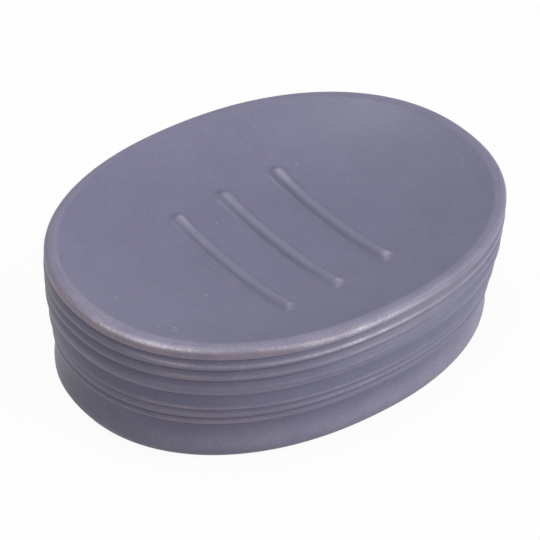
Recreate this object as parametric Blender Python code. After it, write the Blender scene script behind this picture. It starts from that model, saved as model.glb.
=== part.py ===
"""Oval stoneware soap dish with a banded wall, three soap ribs and four anti-slip pads.

The dish is one hollow slip-cast body. Its outer wall is a stack of horizontal
bands between a square-shouldered lip and a plain foot. The bowl holds the soap
on three ribs, and the underside is a closed base, set up inside a flat foot
ring, with a small vent hole for the kiln. The pads are stuck under the foot ring.

Frame: metres, +Z up, +X along the dish. The origin is the centre of the plane
that the pads stand on.
"""

import math
from typing import NamedTuple

import bmesh
import bpy

MM = 0.001
OBJECT_NAME = "soap_dish"

# Plan of the dish at its widest, which is the crest of the topmost band
LENGTH = 130.0 * MM
WIDTH = 95.0 * MM
PLAN_EXPONENT = 2.17

# Lip
LIP_HEIGHT = 3.4 * MM
LIP_WIDTH = 4.8 * MM
LIP_SIDE_INSET = 0.10 * MM
LIP_OUTER_RADIUS = 1.6 * MM
LIP_INNER_EASE = 1.2 * MM

# Bowl and soap ribs
BOWL_DEPTH = 10.8 * MM
BOWL_FLATNESS = 2.65
RIB_COUNT = 3
RIB_PITCH = 17.1 * MM
RIB_LENGTH = 48.5 * MM
RIBS_OFF_CENTRE = (0.9 * MM, -0.8 * MM)
RIB_RADIUS = 2.3 * MM
RIB_HEIGHT = 1.3 * MM
RIB_END_FLAT = 0.1 * MM

# Bands of the wall, from the lip down to the foot. Each has its height, the
# inset of its crest, how far its groove lies behind the crest, and how far its
# lower edge turns back in.
UPPER_BEAD_HEIGHT = 3.8 * MM
UPPER_BEAD_CREST = 0.00 * MM
UPPER_BEAD_GROOVE = 0.75 * MM
UPPER_BEAD_TURN = 0.50 * MM

LOWER_BEAD_HEIGHT = 3.6 * MM
LOWER_BEAD_CREST = 0.25 * MM
LOWER_BEAD_GROOVE = 0.75 * MM
LOWER_BEAD_TURN = 0.50 * MM

BROAD_BAND_HEIGHT = 5.1 * MM
BROAD_BAND_CREST = 0.60 * MM
BROAD_BAND_GROOVE = 0.80 * MM
BROAD_BAND_TURN = 0.60 * MM

FLARED_BAND_HEIGHT = 5.0 * MM
FLARED_BAND_CREST = 1.45 * MM
FLARED_BAND_GROOVE = 0.90 * MM
FLARED_BAND_TURN = 0.25 * MM

NARROW_BAND_HEIGHT = 3.3 * MM
NARROW_BAND_CREST = 2.10 * MM
NARROW_BAND_GROOVE = 0.50 * MM
NARROW_BAND_TURN = 0.35 * MM

LOWEST_BAND_HEIGHT = 2.2 * MM
LOWEST_BAND_CREST = 2.30 * MM
LOWEST_BAND_GROOVE = 0.50 * MM
LOWEST_BAND_TURN = 0.35 * MM


class Band(NamedTuple):
    """One band: its sizes, how far down it the crest sits, and how hollow the run out to it is."""

    height: float
    crest: float
    groove: float
    turn: float
    crest_at: float
    hollow: float


BANDS = (
    Band(UPPER_BEAD_HEIGHT, UPPER_BEAD_CREST, UPPER_BEAD_GROOVE, UPPER_BEAD_TURN, 0.50, 2.0),
    Band(LOWER_BEAD_HEIGHT, LOWER_BEAD_CREST, LOWER_BEAD_GROOVE, LOWER_BEAD_TURN, 0.50, 2.0),
    Band(BROAD_BAND_HEIGHT, BROAD_BAND_CREST, BROAD_BAND_GROOVE, BROAD_BAND_TURN, 0.45, 2.0),
    Band(FLARED_BAND_HEIGHT, FLARED_BAND_CREST, FLARED_BAND_GROOVE, FLARED_BAND_TURN, 0.90, 1.3),
    Band(NARROW_BAND_HEIGHT, NARROW_BAND_CREST, NARROW_BAND_GROOVE, NARROW_BAND_TURN, 0.60, 2.0),
    Band(LOWEST_BAND_HEIGHT, LOWEST_BAND_CREST, LOWEST_BAND_GROOVE, LOWEST_BAND_TURN, 0.55, 2.0),
)

# Foot
FOOT_HEIGHT = 11.9 * MM
FOOT_INSET = 3.1 * MM
FOOT_GROOVE = 0.30 * MM
FOOT_COVE_HEIGHT = 8.4 * MM
FOOT_COVE_HOLLOW = 1.8
FOOT_EDGE_RADIUS = 1.6 * MM
FOOT_RING_WIDTH = 11.0 * MM
BASE_RECESS = 1.5 * MM

# Hollow inside. Its roof runs under the bowl as far as this share of the bowl's radius.
WALL = 4.5 * MM
CAVITY_FILLET = 4.0 * MM
ROOF_REACH = 0.90
VENT_RADIUS = 1.0 * MM

# Pads
PAD_RADIUS = 4.0 * MM
PAD_HEIGHT = 0.8 * MM
PAD_ANGLE = math.radians(42.0)
SEAT_GAP = 0.3 * MM

# Finishes
GLAZE_COLOUR = (0.19, 0.18, 0.26)
GLAZE_ROUGHNESS = 0.45
SILICONE_COLOUR = (0.62, 0.62, 0.60)
SILICONE_ROUGHNESS = 0.35

# Facets
RING_SIDES = 64
ARC_STEPS = 3
BAND_STEPS = 3
BOWL_STEPS = 8
CAVITY_STEPS = 4
RIB_STEPS = 14
RIB_ROUNDNESS = 2
PAD_SIDES = 32
RING_CROWDING = 0.8
CIRCLE_EXPONENT = 2.0
SHARP_ANGLE = math.radians(35.0)
WELD_DISTANCE = 0.001 * MM

# A parabola has turned by this share of its rise when it is half way along
HALF_WAY_TURN = 0.25

# Heights that follow from the sizes above
FOOT_Z = PAD_HEIGHT + SEAT_GAP
GROOVE_Z = FOOT_Z + FOOT_HEIGHT
SHOULDER_Z = GROOVE_Z + sum(band.height for band in BANDS)
TOP_Z = SHOULDER_Z + LIP_HEIGHT
BOWL_FLOOR_Z = TOP_Z - BOWL_DEPTH
PANEL_Z = FOOT_Z + BASE_RECESS
EASED_RADIUS = 1.0 - LIP_INNER_EASE / (WIDTH / 2 - LIP_WIDTH)


def material(name, colour, roughness):
    """Return a Principled material."""
    made = bpy.data.materials.new(name)
    made.use_nodes = True
    shader = made.node_tree.nodes["Principled BSDF"]
    shader.inputs["Base Color"].default_value = (*colour, 1.0)
    shader.inputs["Roughness"].default_value = roughness
    shader.inputs["Metallic"].default_value = 0.0
    made.diffuse_color = (*colour, 1.0)
    return made


def clear_scene():
    """Remove what the file holds."""
    for item in list(bpy.data.objects):
        bpy.data.objects.remove(item, do_unlink=True)


def collection(name):
    """Return a new collection in the scene."""
    made = bpy.data.collections.new(name)
    bpy.context.scene.collection.children.link(made)
    return made


def oval(half_length, half_width, z, exponent=PLAN_EXPONENT):
    """Return the points of one level ring, a superellipse."""
    power = 2.0 / exponent
    points = []
    for side in range(RING_SIDES):
        turn = 2.0 * math.pi * side / RING_SIDES
        across = math.copysign(abs(math.cos(turn)) ** power, math.cos(turn))
        along = math.copysign(abs(math.sin(turn)) ** power, math.sin(turn))
        points.append((half_length * across, half_width * along, z))
    return points


def inset_oval(inset, z):
    """Return the ring that lies inside the widest plan by an inset."""
    return oval(LENGTH / 2 - inset, WIDTH / 2 - inset, z)


def plan_radius(x, y):
    """Return where a point lies between the centre, 0, and the bowl's edge, 1."""
    across = abs(x) / (LENGTH / 2 - LIP_WIDTH)
    along = abs(y) / (WIDTH / 2 - LIP_WIDTH)
    return (across ** PLAN_EXPONENT + along ** PLAN_EXPONENT) ** (1.0 / PLAN_EXPONENT)


def bowl_z(radius):
    """Return the bowl's height at a plan radius."""
    return BOWL_FLOOR_Z + BOWL_DEPTH * radius ** BOWL_FLATNESS


def bowl_rings():
    """Return the bowl's rings from the middle out to where its edge is eased."""
    rings = []
    for step in range(1, BOWL_STEPS + 1):
        radius = EASED_RADIUS * (step / BOWL_STEPS) ** RING_CROWDING
        half_length = radius * (LENGTH / 2 - LIP_WIDTH)
        half_width = radius * (WIDTH / 2 - LIP_WIDTH)
        rings.append(oval(half_length, half_width, bowl_z(radius)))
    return rings


def lip_rings():
    """Return the lip's rings: eased inner edge, flat top, outer round and side."""
    easing = HALF_WAY_TURN * (TOP_Z - bowl_z(EASED_RADIUS))
    rings = [inset_oval(LIP_WIDTH, TOP_Z - easing), inset_oval(LIP_WIDTH - LIP_INNER_EASE, TOP_Z)]
    outer = LIP_SIDE_INSET + LIP_OUTER_RADIUS
    centre_z = TOP_Z - LIP_OUTER_RADIUS
    for step in range(ARC_STEPS + 1):
        turn = math.pi / 2 * step / ARC_STEPS
        inset = outer - LIP_OUTER_RADIUS * math.sin(turn)
        rings.append(inset_oval(inset, centre_z + LIP_OUTER_RADIUS * math.cos(turn)))
    rings.append(inset_oval(LIP_SIDE_INSET, SHOULDER_Z))
    return rings


def band_rings(band, top_z):
    """Return one band's rings, from its groove out to its crest and back in."""
    rings = []
    for step in range(BAND_STEPS + 1):
        down = band.crest_at * step / BAND_STEPS
        rest = (1.0 - step / BAND_STEPS) ** band.hollow
        rings.append(inset_oval(band.crest + band.groove * rest, top_z - down * band.height))
    half_way = (1.0 + band.crest_at) / 2
    rings.append(inset_oval(band.crest + HALF_WAY_TURN * band.turn, top_z - half_way * band.height))
    rings.append(inset_oval(band.crest + band.turn, top_z - band.height))
    return rings


def foot_rings():
    """Return the foot's rings: the cove under the last groove and the rounded edge."""
    rings = []
    cove_z = GROOVE_Z - FOOT_COVE_HEIGHT
    for step in range(BAND_STEPS + 1):
        share = step / BAND_STEPS
        inset = FOOT_INSET + FOOT_GROOVE * (1.0 - share) ** FOOT_COVE_HOLLOW
        rings.append(inset_oval(inset, GROOVE_Z - share * FOOT_COVE_HEIGHT))
    edge_height = cove_z - FOOT_Z
    for step in range(1, ARC_STEPS + 1):
        turn = math.pi / 2 * step / ARC_STEPS
        inset = FOOT_INSET + FOOT_EDGE_RADIUS * (1.0 - math.cos(turn))
        rings.append(inset_oval(inset, cove_z - edge_height * math.sin(turn)))
    return rings


def base_rings():
    """Return the rings of the foot ring, the raised base panel and the vent hole."""
    inner = FOOT_INSET + FOOT_EDGE_RADIUS + FOOT_RING_WIDTH
    return [
        inset_oval(inner, FOOT_Z),
        inset_oval(inner + BASE_RECESS, PANEL_Z),
        oval(VENT_RADIUS, VENT_RADIUS, PANEL_Z, CIRCLE_EXPONENT),
        oval(VENT_RADIUS, VENT_RADIUS, PANEL_Z + WALL, CIRCLE_EXPONENT),
    ]


def cavity_rings():
    """Return the hollow's rings: floor, wall and the underside of the bowl."""
    wall_inset = FOOT_INSET + FOOT_GROOVE + WALL
    floor_z = PANEL_Z + WALL
    rings = []
    for step in range(ARC_STEPS + 1):
        turn = math.pi / 2 * step / ARC_STEPS
        inset = wall_inset + CAVITY_FILLET * (1.0 - math.sin(turn))
        rings.append(inset_oval(inset, floor_z + CAVITY_FILLET * (1.0 - math.cos(turn))))
    under_lip = UPPER_BEAD_CREST + UPPER_BEAD_GROOVE + WALL
    roof_z = SHOULDER_Z - WALL
    eased = HALF_WAY_TURN * CAVITY_FILLET
    rings.append(inset_oval(under_lip, roof_z - CAVITY_FILLET))
    rings.append(inset_oval(under_lip + eased, roof_z - eased))
    for step in range(CAVITY_STEPS):
        radius = ROOF_REACH * (1.0 - step / CAVITY_STEPS) ** RING_CROWDING
        half_length = radius * (LENGTH / 2 - LIP_WIDTH)
        half_width = radius * (WIDTH / 2 - LIP_WIDTH)
        rings.append(oval(half_length, half_width, bowl_z(radius) - WALL))
    return rings


def loft(name, rings, start, end):
    """Return a closed mesh through rings of points, with a point at each end."""
    shape = bmesh.new()
    first = shape.verts.new(start)
    last = shape.verts.new(end)
    loops = [[shape.verts.new(point) for point in ring] for ring in rings]
    for side in range(RING_SIDES):
        after = (side + 1) % RING_SIDES
        shape.faces.new((first, loops[0][side], loops[0][after]))
        shape.faces.new((loops[-1][side], last, loops[-1][after]))
        for upper, lower in zip(loops, loops[1:]):
            shape.faces.new((upper[side], lower[side], lower[after], upper[after]))
    bmesh.ops.recalc_face_normals(shape, faces=shape.faces)
    mesh = bpy.data.meshes.new(name)
    shape.to_mesh(mesh)
    shape.free()
    return mesh


def add_rib(x, middle_y, cutters):
    """Return a soap rib that follows the bowl, as a rounded bar sunk into it."""
    path = bpy.data.curves.new("rib_path", "CURVE")
    path.dimensions = "3D"
    path.bevel_depth = RIB_RADIUS
    path.bevel_resolution = RIB_ROUNDNESS
    path.use_fill_caps = True
    spline = path.splines.new("POLY")
    spline.points.add(RIB_STEPS)
    for step, point in enumerate(spline.points):
        along = math.cos(math.pi * step / RIB_STEPS) * RIB_LENGTH / 2
        y = middle_y + along
        to_end = RIB_LENGTH / 2 - abs(along) + RIB_END_FLAT
        tip = min(1.0, to_end / RIB_RADIUS)
        point.co = (x, y, bowl_z(plan_radius(x, y)) + RIB_HEIGHT - RIB_RADIUS, 1.0)
        point.radius = math.sqrt(1.0 - (1.0 - tip) ** 2)
    holder = bpy.data.objects.new("rib_path", path)
    cutters.objects.link(holder)
    bpy.context.view_layer.update()
    mesh = bpy.data.meshes.new_from_object(holder.evaluated_get(bpy.context.evaluated_depsgraph_get()))
    shape = bmesh.new()
    shape.from_mesh(mesh)
    bmesh.ops.remove_doubles(shape, verts=shape.verts, dist=WELD_DISTANCE)
    bmesh.ops.recalc_face_normals(shape, faces=shape.faces)
    shape.to_mesh(mesh)
    shape.free()
    bpy.data.objects.remove(holder, do_unlink=True)
    rib = bpy.data.objects.new("soap_rib", mesh)
    rib.hide_render = True
    rib.display_type = "WIRE"
    cutters.objects.link(rib)
    return rib


def build_dish(parts, cutters):
    """Return the hollow dish with its ribs joined on."""
    rings = bowl_rings() + lip_rings()
    top_z = SHOULDER_Z
    for band in BANDS:
        rings += band_rings(band, top_z)
        top_z -= band.height
    rings += foot_rings() + base_rings() + cavity_rings()
    centre = (0.0, 0.0, BOWL_FLOOR_Z)
    mesh = loft("dish_body", rings, centre, (0.0, 0.0, BOWL_FLOOR_Z - WALL))
    dish = bpy.data.objects.new("dish_body", mesh)
    dish.data.materials.append(material("matt_glazed_stoneware", GLAZE_COLOUR, GLAZE_ROUGHNESS))
    parts.objects.link(dish)
    middle_x, middle_y = RIBS_OFF_CENTRE
    for index in range(RIB_COUNT):
        rib = add_rib(middle_x + (index - (RIB_COUNT - 1) / 2) * RIB_PITCH, middle_y, cutters)
        join = dish.modifiers.new("join_rib", "BOOLEAN")
        join.operation = "UNION"
        join.solver = "EXACT"
        join.object = rib
    mesh.shade_smooth()
    mesh.set_sharp_from_angle(angle=SHARP_ANGLE)
    return dish


def build_pad(name, x, y, finish, parts):
    """Return one anti-slip disc under the foot ring."""
    bpy.ops.mesh.primitive_cylinder_add(
        vertices=PAD_SIDES,
        radius=PAD_RADIUS,
        depth=PAD_HEIGHT,
        location=(x, y, PAD_HEIGHT / 2),
    )
    pad = bpy.context.object
    pad.name = name
    pad.data.name = name
    for holder in list(pad.users_collection):
        holder.objects.unlink(pad)
    parts.objects.link(pad)
    pad.data.materials.append(finish)
    pad.data.shade_smooth()
    pad.data.set_sharp_from_angle(angle=SHARP_ANGLE)
    return pad


def build_pads(parts):
    """Build the four pads, centred on the width of the foot ring."""
    finish = material("clear_silicone", SILICONE_COLOUR, SILICONE_ROUGHNESS)
    inset = FOOT_INSET + FOOT_EDGE_RADIUS + FOOT_RING_WIDTH / 2
    power = 2.0 / PLAN_EXPONENT
    x = (LENGTH / 2 - inset) * math.cos(PAD_ANGLE) ** power
    y = (WIDTH / 2 - inset) * math.sin(PAD_ANGLE) ** power
    for end, x_side in (("left", -1), ("right", 1)):
        for face, y_side in (("front", -1), ("back", 1)):
            build_pad("foot_pad_{}_{}".format(face, end), x_side * x, y_side * y, finish, parts)


def main():
    """Build the soap dish."""
    clear_scene()
    parts = collection(OBJECT_NAME)
    cutters = collection(OBJECT_NAME + "_cutters")
    build_dish(parts, cutters)
    build_pads(parts)


main()
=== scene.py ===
"""Studio scene of an oval stoneware soap dish with a matt violet-grey glaze.

The dish is modelled as its potter makes it: a slip-cast body with a banded
wall, a bowl with three soap ribs, a lip on which the glaze breaks thin, a dry
foot ring and four soft pads. Every piece stands where its solid stands.
"""

from __future__ import annotations

import logging
import math
from dataclasses import dataclass, field
from enum import Enum
from typing import Any

import bpy
import numpy as np
from mathutils import Matrix, Vector, noise


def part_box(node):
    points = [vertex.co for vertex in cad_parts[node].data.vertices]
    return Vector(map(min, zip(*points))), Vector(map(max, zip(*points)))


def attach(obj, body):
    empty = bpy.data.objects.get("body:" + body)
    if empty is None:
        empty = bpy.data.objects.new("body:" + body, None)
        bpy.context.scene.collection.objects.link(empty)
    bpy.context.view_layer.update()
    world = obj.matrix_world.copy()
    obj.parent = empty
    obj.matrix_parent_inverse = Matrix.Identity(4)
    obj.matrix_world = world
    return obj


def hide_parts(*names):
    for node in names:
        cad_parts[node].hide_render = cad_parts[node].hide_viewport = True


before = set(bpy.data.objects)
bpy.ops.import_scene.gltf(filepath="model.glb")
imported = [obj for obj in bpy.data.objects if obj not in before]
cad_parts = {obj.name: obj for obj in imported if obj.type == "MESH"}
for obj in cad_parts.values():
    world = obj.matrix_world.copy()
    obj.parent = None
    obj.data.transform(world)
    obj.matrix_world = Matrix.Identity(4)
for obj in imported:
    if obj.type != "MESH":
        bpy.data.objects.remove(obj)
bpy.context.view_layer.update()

Tree = bpy.types.NodeTree
Socket = bpy.types.NodeSocket
Thing = bpy.types.Object
Rows = np.ndarray
Point = tuple[float, float]

MM = 0.001
FULL_TURN = 2.0 * math.pi
QUARTER_TURN = math.pi / 2
DEGREES_ROUND = 360.0
log = logging.getLogger("soap_dish")

# The places of a colour mix's sockets, whose names are shared by other kinds of mix.
SHARE, BELOW, ABOVE, MIXED = 0, 6, 7, 2
RGB = {"data_type": "RGBA"}

# Spans of a noise's values. The narrower a span, the stronger the pattern's contrast.
WIDE = {"From Min": 0.30, "From Max": 0.70}
MIDDLING = {"From Min": 0.32, "From Max": 0.68}
NARROW = {"From Min": 0.35, "From Max": 0.65}


class Corner(Enum):
    """The four corners of the foot ring, each with a pad."""

    FRONT_LEFT = "foot_pad_front_left"
    FRONT_RIGHT = "foot_pad_front_right"
    BACK_LEFT = "foot_pad_back_left"
    BACK_RIGHT = "foot_pad_back_right"


class Coat(Enum):
    """How the glaze lies, as the names of the mesh's attributes: the pale coat also holds painted
    highlights, and the pooled coat painted shade.
    """

    PALE = "glaze_pale_and_painted_highlight"
    PINK = "body_shows_pink"
    POOLED = "glaze_pooled_and_painted_shade"


def linear(colour: str) -> tuple[float, float, float, float]:
    """Turn an sRGB hex value into linear light.

    Args:
        colour: Six hex digits after a hash sign.

    Returns:
        Red, green, blue and a full alpha.
    """
    straight_up_to, slope, offset, power = 0.04045, 12.92, 0.055, 2.4
    made = []
    for place in (1, 3, 5):
        part = int(colour[place : place + 2], 16) / 255
        curved = ((part + offset) / (1.0 + offset)) ** power
        made.append(part / slope if part <= straight_up_to else curved)
    return made[0], made[1], made[2], 1.0


def per_mm(size: float) -> float:
    """Return the texture scale at which one feature measures a size in millimetres."""
    return 1.0 / (size * MM)


def eased(share: Rows) -> Rows:
    """Return shares from 0 to 1 with a slow start and a slow end."""
    held = np.clip(share, 0.0, 1.0)
    return held * held * (3.0 - 2.0 * held)


def bell(distance: Rows, spread: float | Rows) -> Rows:
    """Return shares that are 1 at no distance and fade softly over a spread."""
    return np.exp(-((distance / spread) ** 2))


def shares_of(steps: int, first: int = 0) -> list[float]:
    """Return the shares of a run that its equal steps reach, from a first step on."""
    return [step / steps for step in range(first, steps + 1)]


def turn_of(points: Rows) -> Rows:
    """Return each point's turn round the dish in degrees, from its right end past its back."""
    return np.degrees(np.arctan2(points[:, 1], points[:, 0])) % DEGREES_ROUND


def quarter_turns(steps: int) -> list[float]:
    """Return the turns that the equal steps of a quarter round reach."""
    return [QUARTER_TURN * share for share in shares_of(steps)]


def add(tree: Tree, kind: str, inputs: dict[Any, Any], **settings: Any) -> bpy.types.Node:
    """Add a node with its settings and its inputs.

    Args:
        tree: The node tree that takes the node.
        kind: The node's type name, without its first words.
        inputs: Input names or places, each with a value or an output to link.
        settings: Attribute names and their values.

    Returns:
        The new node.
    """
    made = tree.nodes.new("ShaderNode" + kind)
    for name, value in settings.items():
        setattr(made, name, value)
    for place, value in inputs.items():
        if isinstance(value, Socket):
            tree.links.new(value, made.inputs[place])
        else:
            made.inputs[place].default_value = value
    return made


def empty_material(name: str) -> tuple[bpy.types.Material, Tree]:
    """Return a material with an empty node tree.

    Args:
        name: The finish's name.

    Returns:
        The material and its tree.
    """
    made = bpy.data.materials.new(name)
    made.use_nodes = True
    made.node_tree.nodes.clear()
    return made, made.node_tree


def background_share(tree: Tree) -> Socket:
    """Return 1 for the rays that show the white background, and 0 for those that only light the dish.

    Args:
        tree: The tree of the paper or of the surround.

    Returns:
        The share, for rays from the camera and through gloss or glass.
    """
    ray = add(tree, "LightPath", {}).outputs
    share = ray["Is Camera Ray"]
    for other in ("Is Glossy Ray", "Is Transmission Ray"):
        share = add(tree, "Math", {0: share, 1: ray[other]}, operation="MAXIMUM").outputs[0]
    return share


def placed(name: str, data: bpy.types.ID) -> Thing:
    """Put a mesh, a light or a camera into the scene.

    Args:
        name: The object's name.
        data: What it holds.

    Returns:
        The object, linked to the scene.
    """
    made = bpy.data.objects.new(name, data)
    bpy.context.scene.collection.objects.link(made)
    return made


def lofted(name: str, points: Rows, sides: int, upward: bool = False) -> Thing:
    """Join rings of points, with a point at each end, into one closed smooth mesh.

    Args:
        name: The name of the mesh and of its object.
        points: Rows of x, y and z: the first end, the rings and the last end.
        sides: The number of points in a ring.
        upward: Whether the rings start at the underside, so that the faces turn round.

    Returns:
        The object, linked to the scene.
    """
    last = len(points) - 1
    final = last - sides
    faces: list[tuple[int, ...]] = []
    for side in range(sides):
        after = (side + 1) % sides
        faces.append((0, 1 + side, 1 + after))
        faces.append((final + after, final + side, last))
        for here in range(1, final, sides):
            there = here + sides
            faces.append((here + side, there + side, there + after, here + after))
    if upward:
        faces = [(face[0], *face[:0:-1]) for face in faces]
    mesh = bpy.data.meshes.new(name)
    mesh.from_pydata(points.tolist(), [], faces)
    mesh.shade_smooth()
    return placed(name, mesh)


@dataclass(frozen=True)
class Mark:
    """One small mark in the glaze: a speck, a pinhole or a scuff, with its place and size in millimetres."""

    along: float
    across: float
    half_length: float
    half_width: float
    turn: float
    hue: str
    strength: float

    def over(self, tree: Tree, colour: Socket, place: Socket, level: float) -> Socket:
        """Lay the mark over a colour.

        Args:
            tree: The material's tree.
            colour: The colour below the mark.
            place: The object's coordinates.
            level: The height of the lip, above the whole bowl.

        Returns:
            The marked colour.
        """
        reach_down = 26.0 * MM
        fade = {"From Min": 0.45, "From Max": 1.0, "To Min": self.strength, "To Max": 0.0}
        inputs = {
            "Vector": place,
            "Location": (self.along * MM, self.across * MM, level),
            "Rotation": (0.0, 0.0, math.radians(self.turn)),
            "Scale": (self.half_length * MM, self.half_width * MM, reach_down),
        }
        local = add(tree, "Mapping", inputs, vector_type="TEXTURE").outputs[0]
        away = add(tree, "VectorMath", {0: local}, operation="LENGTH").outputs["Value"]
        cover = add(tree, "MapRange", {"Value": away, **fade}).outputs["Result"]
        layer = {SHARE: cover, BELOW: colour, ABOVE: linear(self.hue)}
        return add(tree, "Mix", layer, **RGB).outputs[MIXED]


@dataclass(frozen=True)
class MattGlaze:
    """Matt stoneware glaze, dipped and fired.

    A crystalline matt surface scatters light: highlights are wide and soft,
    with a fine grain. The glaze breaks pale over convex edges, lets the pink
    body show where it drained thin, and is darker where it pooled in grooves.
    Its pale coat also carries painted highlights on the lip's edge, the crests
    and the ribs, and its pooled coat painted shade in the grooves, the ribs'
    creases and on the foot.
    Its crystals are too fine to show, so their grain is drawn 0.9 mm wide, and
    the fraying of its thin edges 0.65 mm wide. Patterns, pitches and depths are
    in millimetres, and a dot's reach is a share of its pitch.
    """

    full: str = "#74738e"
    light: str = "#7b7a95"
    dark: str = "#6c6b86"
    warm: str = "#7a7189"
    cool: str = "#6e738c"
    # pale: the glaze's break over edges, and the colour of the painted highlights on the lip's edge, the
    # crests and the ribs
    pale: str = "#e8e0f0"
    pink: str = "#9a8998"
    # pooled: glaze pooled in grooves, and the colour of the painted shade in the grooves, the ribs' creases
    # and on the foot
    pooled: str = "#5a566b"
    speck: str = "#b9b6c4"
    speck_pitch: float = 13.0
    speck_reach: float = 0.016
    pit: str = "#62606f"
    pit_pitch: float = 3.4
    pit_reach: float = 0.045
    roughness: float = 0.45
    ior: float = 1.5
    grain: float = 0.9
    evenness: float = 0.5
    mottle: float = 2.2
    mottle_share: float = 0.18
    drift: float = 9.0
    drift_share: float = 0.04
    patch: float = 6.5
    fray: float = 0.65
    thinning: float = 0.30
    cast: float = 5.0
    cast_depth: float = 0.02
    skin: float = 0.6
    skin_depth: float = 0.02
    relief: float = 0.5
    lip_level: float = 39.4 * MM
    marks: tuple[Mark, ...] = (
        Mark(-7.9, 15.9, 0.30, 0.30, 0.0, "#b9b6c4", 0.8),
        Mark(14.1, 34.6, 0.30, 0.30, 0.0, "#b9b6c4", 0.6),
        Mark(-28.8, -7.6, 0.32, 0.32, 0.0, "#b9b6c4", 0.9),
        Mark(-35.6, -3.5, 0.28, 0.28, 0.0, "#b9b6c4", 0.8),
        Mark(-52.3, -0.3, 0.34, 0.30, 0.0, "#c2bfcb", 0.9),
        Mark(-51.0, -16.7, 0.28, 0.28, 0.0, "#c2bfcb", 0.9),
        Mark(-47.2, -18.6, 0.80, 0.38, -35.0, "#a8a6b4", 0.8),
        Mark(-48.3, -19.9, 0.90, 0.38, -30.0, "#a8a6b4", 0.8),
        Mark(-1.3, -31.3, 2.2, 0.35, 15.0, "#8a889c", 0.4),
        Mark(-20.6, 1.6, 6.0, 0.22, 92.0, "#5c5a6c", 0.6),
    )

    def material(self) -> bpy.types.Material:
        """Return the glaze's material.

        Returns:
            A procedural material that reads the mesh's thin and pooled glaze, with the painted highlights
            and painted shade that they carry.
        """
        made, tree = empty_material("matt_stoneware_glaze")
        place = add(tree, "TexCoord", {}).outputs["Object"]
        colour = self._edges(tree, self._ground(tree, place), place)
        colour = self._specks(tree, colour, place)
        for mark in self.marks:
            colour = mark.over(tree, colour, place, self.lip_level)
        finish = {"Base Color": colour, "Roughness": self.roughness, "IOR": self.ior}
        shader = add(tree, "BsdfPrincipled", {**finish, "Normal": self._surface(tree, place)})
        add(tree, "OutputMaterial", {"Surface": shader.outputs["BSDF"]})
        return made

    def _ground(self, tree: Tree, place: Socket) -> Socket:
        """Colour the full coat, with its grain, its mottle and a slow drift in depth.

        Args:
            tree: The material's tree.
            place: The object's coordinates.

        Returns:
            The colour of a full coat.
        """
        patterns = []
        for size, detail, span in (
            (self.grain, 3.0, MIDDLING),
            (self.mottle, 2.0, NARROW),
            (self.drift, 2.0, NARROW),
        ):
            inputs = {"Vector": place, "Scale": per_mm(size), "Detail": detail}
            value = add(tree, "TexNoise", inputs).outputs["Fac"]
            patterns.append(add(tree, "MapRange", {"Value": value, **span}).outputs["Result"])
        grain, mottle, drift = patterns
        hues = {SHARE: mottle, BELOW: linear(self.warm), ABOVE: linear(self.cool)}
        tinge = add(tree, "Mix", hues, **RGB).outputs[MIXED]
        colour = linear(self.dark)
        for share, above, blend in (
            (grain, linear(self.light), "MIX"),
            (self.evenness, linear(self.full), "MIX"),
            (self.mottle_share, tinge, "MIX"),
            (self.drift_share, drift, "SOFT_LIGHT"),
        ):
            layer = {SHARE: share, BELOW: colour, ABOVE: above}
            colour = add(tree, "Mix", layer, **RGB, blend_type=blend).outputs[MIXED]
        return colour

    def _edges(self, tree: Tree, colour: Socket, place: Socket) -> Socket:
        """Break the glaze over edges, thin it where it drained and pool it in grooves, with painted
        highlights in the pale coat and painted shade in the pooled one.

        Args:
            tree: The material's tree.
            colour: The glaze's own colour.
            place: The object's coordinates.

        Returns:
            The colour with its edges and grooves.
        """
        around_one = {"To Min": 1.0 - self.thinning, "To Max": 1.0 + self.thinning}
        factors = []
        for size, detail, span in ((self.patch, 3.0, MIDDLING), (self.fray, 2.0, WIDE)):
            inputs = {"Vector": place, "Scale": per_mm(size), "Detail": detail}
            value = add(tree, "TexNoise", inputs).outputs["Fac"]
            stretch = {"Value": value, **span, **around_one}
            factors.append(add(tree, "MapRange", stretch).outputs["Result"])
        uneven = add(tree, "Math", dict(enumerate(factors)), operation="MULTIPLY").outputs[0]
        # The pale coat lays painted highlights as well as the glaze's break, and the pooled coat painted
        # shade as well as pooled glaze.
        for coat, hue in ((Coat.PINK, self.pink), (Coat.PALE, self.pale), (Coat.POOLED, self.pooled)):
            share = add(tree, "Attribute", {}, attribute_name=coat.value).outputs["Fac"]
            if coat is not Coat.POOLED:
                thin = {0: share, 1: uneven}
                share = add(tree, "Math", thin, operation="MULTIPLY", use_clamp=True).outputs[0]
            layer = {SHARE: share, BELOW: colour, ABOVE: linear(hue)}
            colour = add(tree, "Mix", layer, **RGB).outputs[MIXED]
        return colour

    def _specks(self, tree: Tree, colour: Socket, place: Socket) -> Socket:
        """Scatter pale specks and dark pinholes.

        Args:
            tree: The material's tree.
            colour: The colour below them.
            place: The object's coordinates.

        Returns:
            The dotted colour.
        """
        for hue, pitch, reach in (
            (self.speck, self.speck_pitch, self.speck_reach),
            (self.pit, self.pit_pitch, self.pit_reach),
        ):
            dots = add(tree, "TexVoronoi", {"Vector": place, "Scale": per_mm(pitch)})
            inside = {0: dots.outputs["Distance"], 1: reach}
            mask = add(tree, "Math", inside, operation="LESS_THAN").outputs[0]
            layer = {SHARE: mask, BELOW: colour, ABOVE: linear(hue)}
            colour = add(tree, "Mix", layer, **RGB).outputs[MIXED]
        return colour

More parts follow.
